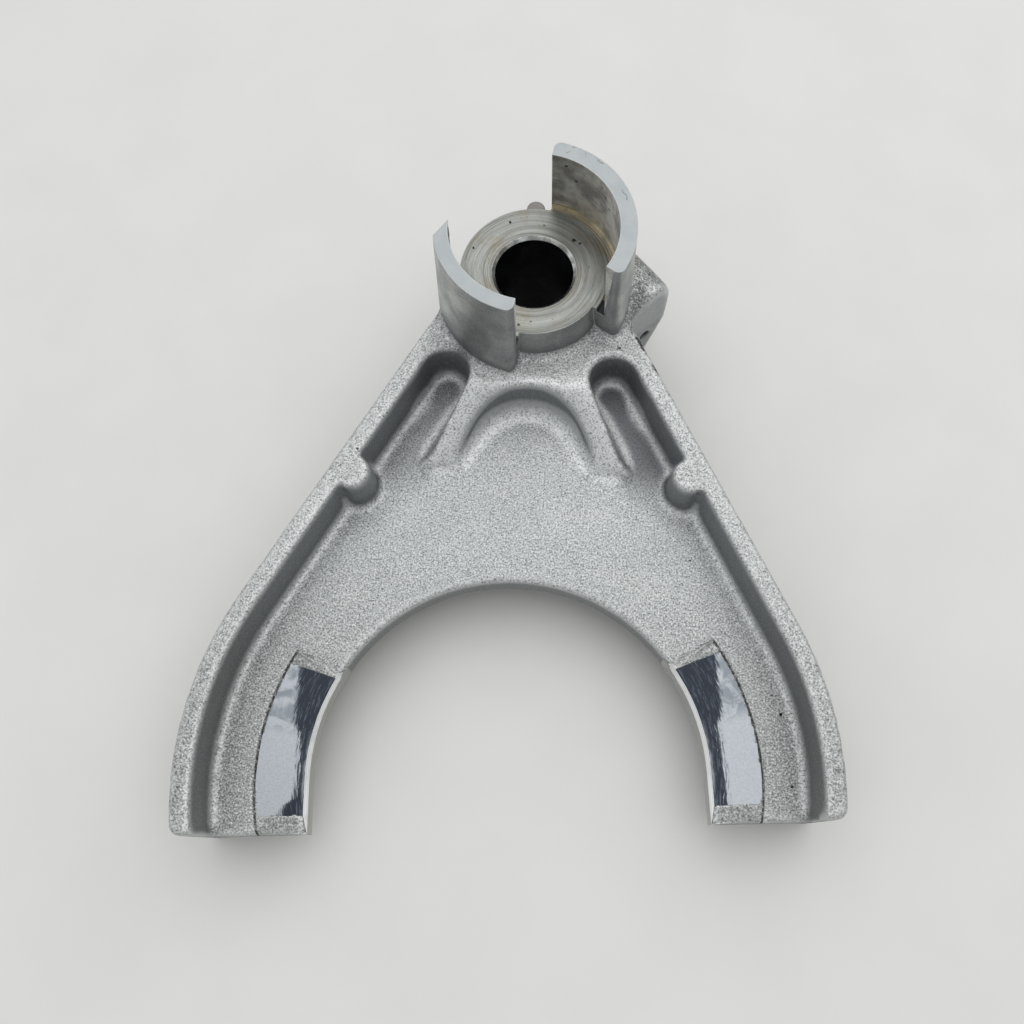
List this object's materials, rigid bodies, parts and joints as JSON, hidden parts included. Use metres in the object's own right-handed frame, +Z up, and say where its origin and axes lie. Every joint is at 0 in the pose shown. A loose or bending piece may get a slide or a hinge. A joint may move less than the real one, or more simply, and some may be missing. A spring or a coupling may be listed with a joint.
{
  "type": "shift fork",
  "caption": "Cast aluminium shift fork: a bored hub with upright ear walls, deep rails down both legs, and a round throat with milled pads.",
  "frame": {"origin": "on the axis of the rail bore, at the lower end of the hub, which is level with the lower edges of the rails", "axes": "+Z up along the rail bore, towards the ears; the legs and the open side of the throat point towards -Y; +X is the side of the pin boss"},
  "size_m": [0.1506, 0.1651, 0.06],
  "materials": {
    "cast_aluminium": "shot-blasted casting with machined faces"
  },
  "bodies": {
    "root": {"shift_fork": "cast_aluminium"}
  },
  "joints": []
}
